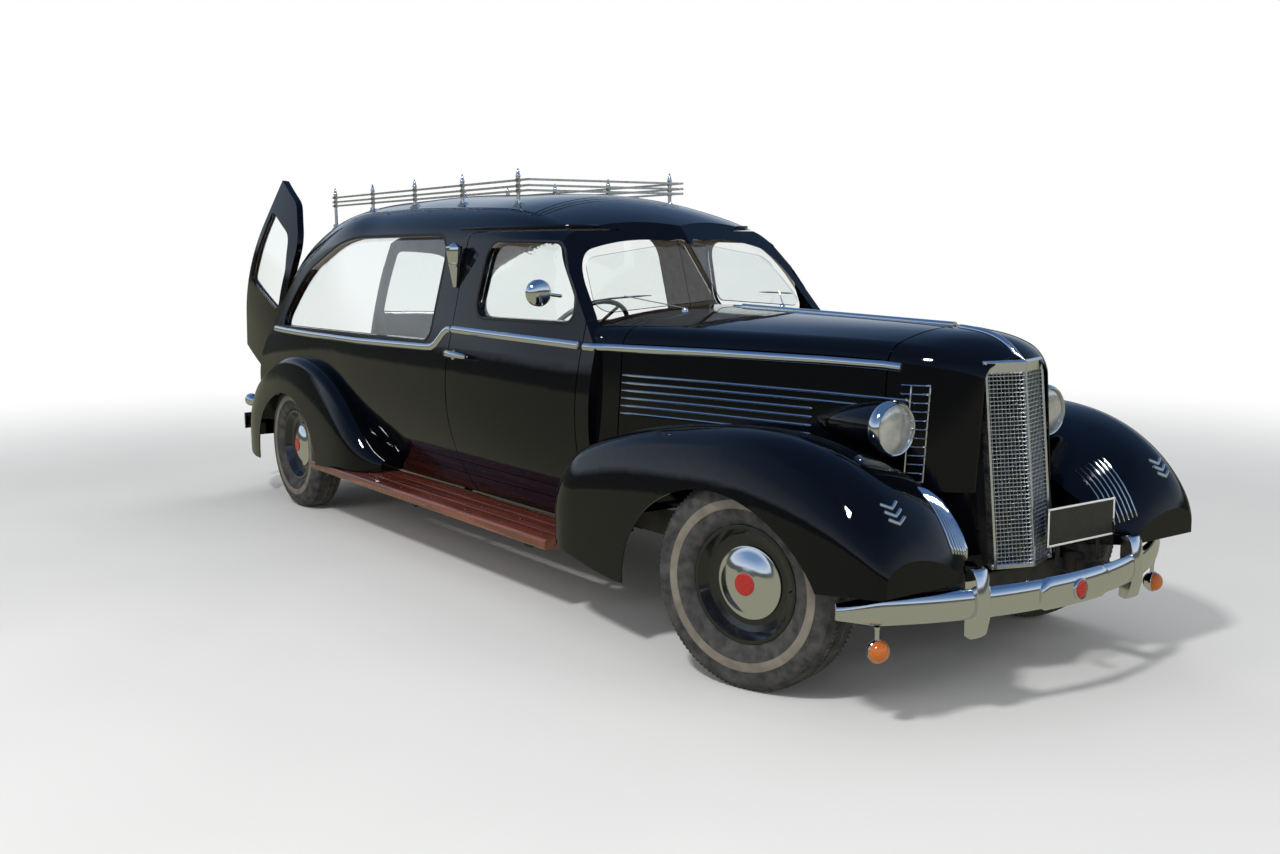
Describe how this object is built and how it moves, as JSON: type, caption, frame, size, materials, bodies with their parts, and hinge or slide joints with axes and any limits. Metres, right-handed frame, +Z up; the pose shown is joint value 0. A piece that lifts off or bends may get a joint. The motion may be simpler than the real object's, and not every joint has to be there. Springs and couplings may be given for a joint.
{
  "type": "hearse",
  "caption": "Long black hearse of the late 1930s with glazed load space, roof rails, swept fenders, timber running boards, tall split grille and opening doors.",
  "frame": {"origin": "on the ground under the middle of the whole car's box, its open rear door leaf included", "axes": "+X towards the front of the car, +Y to its left, +Z up"},
  "size_m": [6.2935, 1.8136, 1.9686],
  "materials": {
    "body_paint": "deep gloss black",
    "chassis_paint": "satin black",
    "wheel_paint": "gloss black",
    "chrome": "polished",
    "window_glass": "clear",
    "tyre_rubber": "matt, thin pale wall ring",
    "cast_metal": "rough",
    "board_wood": "varnished red-brown",
    "deck_wood": "varnished",
    "seat_leather": "worn brown",
    "floor_mat": "ribbed",
    "trim_plastic": "dark",
    "lamp_lens": "amber"
  },
  "bodies": {
    "root": {"body_shell": "body_paint", "bonnet_sides": "body_paint", "cab_floor": "floor_mat", "chassis_frame": "chassis_paint", "engine": "cast_metal", "exhaust": "cast_metal", "facia": "trim_plastic", "fixed_glass": "window_glass", "front_bumper": "chrome", "front_fenders": "body_paint", "front_suspension": "chassis_paint", "fuel_tank": "chassis_paint", "grille": "chrome", "headlamps": "body_paint", "load_deck": "deck_wood", "nose_shell": "body_paint", "radiator": "chassis_paint", "rear_axle": "cast_metal", "rear_bumper": "chrome", "rear_fenders": "body_paint", "roof_rails": "chrome", "running_boards": "board_wood", "seat_back": "seat_leather", "seat_cushion": "seat_leather", "small_lamps": "lamp_lens"},
    "door_r": {"door_r": "body_paint", "door_glass_r": "window_glass", "mirror": "chrome"},
    "door_l": {"door_l": "body_paint", "door_glass_l": "window_glass"},
    "rear_door_r": {"rear_door_r": "body_paint", "rear_glass_r": "window_glass"},
    "rear_door_l": {"rear_door_l": "body_paint", "rear_glass_l": "window_glass"},
    "bonnet_r": {"bonnet_r": "body_paint"},
    "bonnet_l": {"bonnet_l": "body_paint"},
    "knuckle_r": {"knuckle_r": "cast_metal"},
    "knuckle_l": {"knuckle_l": "cast_metal"},
    "tie_rod": {"tie_rod": "cast_metal"},
    "steering_wheel": {"steering_wheel": "trim_plastic"},
    "wheel_front_l": {"tyre_front_l": "tyre_rubber", "wheel_front_l": "wheel_paint"},
    "wheel_front_r": {"tyre_front_r": "tyre_rubber", "wheel_front_r": "wheel_paint"},
    "wheel_rear_l": {"tyre_rear_l": "tyre_rubber", "wheel_rear_l": "wheel_paint"},
    "wheel_rear_r": {"tyre_rear_r": "tyre_rubber", "wheel_rear_r": "wheel_paint"}
  },
  "joints": [
    {"name": "steer_r", "type": "hinge", "parent": "root", "child": "knuckle_r", "pos_m": [2.362, -0.64, 0.37], "axis": [0, 0, 1], "range_deg": [-45.8, 14.2]},
    {"name": "steer_l", "type": "hinge", "parent": "root", "child": "knuckle_l", "pos_m": [2.362, 0.64, 0.37], "axis": [0, 0, 1], "range_deg": [-45.8, 14.2]},
    {"name": "tie_rod_pivot", "type": "hinge", "parent": "knuckle_r", "child": "tie_rod", "pos_m": [2.19842, -0.68629, 0.27], "axis": [0, 0, 1], "range_deg": [-14.2, 45.8]},
    {"name": "steering_wheel_turn", "type": "hinge", "parent": "root", "child": "steering_wheel", "pos_m": [0.722, -0.33, 1.12], "axis": [-0.7383, 0, 0.6745], "range_deg": [-734, 229]},
    {"name": "spin_front_r", "type": "hinge", "parent": "knuckle_r", "child": "wheel_front_r", "pos_m": [2.38828, -0.73285, 0.37], "axis": [-0.2723, 0.9622, 0], "continuous": true},
    {"name": "spin_front_l", "type": "hinge", "parent": "knuckle_l", "child": "wheel_front_l", "pos_m": [2.33572, 0.73285, 0.37], "axis": [-0.2723, 0.9622, 0], "continuous": true},
    {"name": "spin_rear_r", "type": "hinge", "parent": "root", "child": "wheel_rear_r", "pos_m": [-1.712, -0.7495, 0.37], "axis": [0, 1, 0], "continuous": true},
    {"name": "spin_rear_l", "type": "hinge", "parent": "root", "child": "wheel_rear_l", "pos_m": [-1.712, 0.7495, 0.37], "axis": [0, 1, 0], "continuous": true},
    {"name": "door_r_hinge", "type": "hinge", "parent": "root", "child": "door_r", "pos_m": [1.229, -0.724, 0.9], "axis": [0, 0, 1], "range_deg": [0, 65]},
    {"name": "door_l_hinge", "type": "hinge", "parent": "root", "child": "door_l", "pos_m": [1.229, 0.724, 0.9], "axis": [0, 0, -1], "range_deg": [0, 65]},
    {"name": "rear_door_r_hinge", "type": "hinge", "parent": "root", "child": "rear_door_r", "pos_m": [-2.532, -0.64, 0.7], "axis": [0.4067, 0, 0.9135], "range_deg": [-87, 5]},
    {"name": "rear_door_l_hinge", "type": "hinge", "parent": "root", "child": "rear_door_l", "pos_m": [-2.532, 0.64, 0.7], "axis": [-0.4067, 0, -0.9135], "range_deg": [0, 92]},
    {"name": "bonnet_r_hinge", "type": "hinge", "parent": "root", "child": "bonnet_r", "pos_m": [1.443, 0, 1.254], "axis": [-0.9996, 0, 0.0266], "range_deg": [0, 60]},
    {"name": "bonnet_l_hinge", "type": "hinge", "parent": "root", "child": "bonnet_l", "pos_m": [1.443, 0, 1.254], "axis": [0.9996, 0, -0.0266], "range_deg": [0, 60]}
  ],
  "couplings": [
    {"joint": "steer_l", "follows": "steer_r", "ratio": 1},
    {"joint": "tie_rod_pivot", "follows": "steer_r", "ratio": -1},
    {"joint": "steering_wheel_turn", "follows": "steer_r", "ratio": 16}
  ]
}
